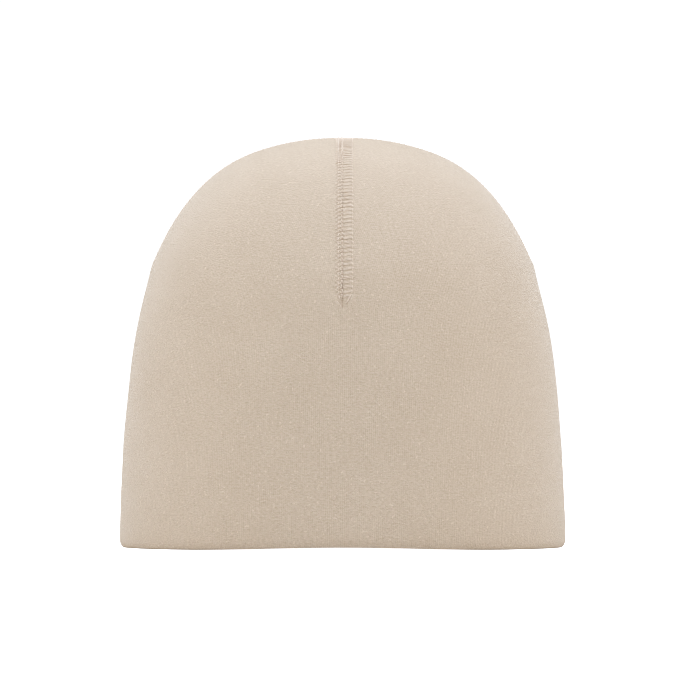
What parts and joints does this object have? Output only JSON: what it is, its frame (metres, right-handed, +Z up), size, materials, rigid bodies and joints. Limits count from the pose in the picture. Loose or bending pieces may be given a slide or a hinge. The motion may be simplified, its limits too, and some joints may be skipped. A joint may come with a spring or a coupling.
{
  "type": "cotton jersey cap",
  "caption": "Brimless close-fitting cap of doubled cotton jersey, open below for the head, with flat seams over the darts of its crown.",
  "frame": {"origin": "under the centre of the crown, on the surface that the hem rests on", "axes": "+Z up through the crown, front of the cap towards -Y, +X to the viewer's right when facing the front"},
  "size_m": [0.178, 0.19, 0.1639],
  "materials": {
    "jersey": "beige brushed cotton jersey, matt",
    "seam_thread": "beige sewing thread over jersey, matt"
  },
  "bodies": {
    "root": {"crown": "jersey", "front_seam": "seam_thread", "back_seam": "seam_thread", "ear_to_ear_seam": "seam_thread"}
  },
  "joints": []
}
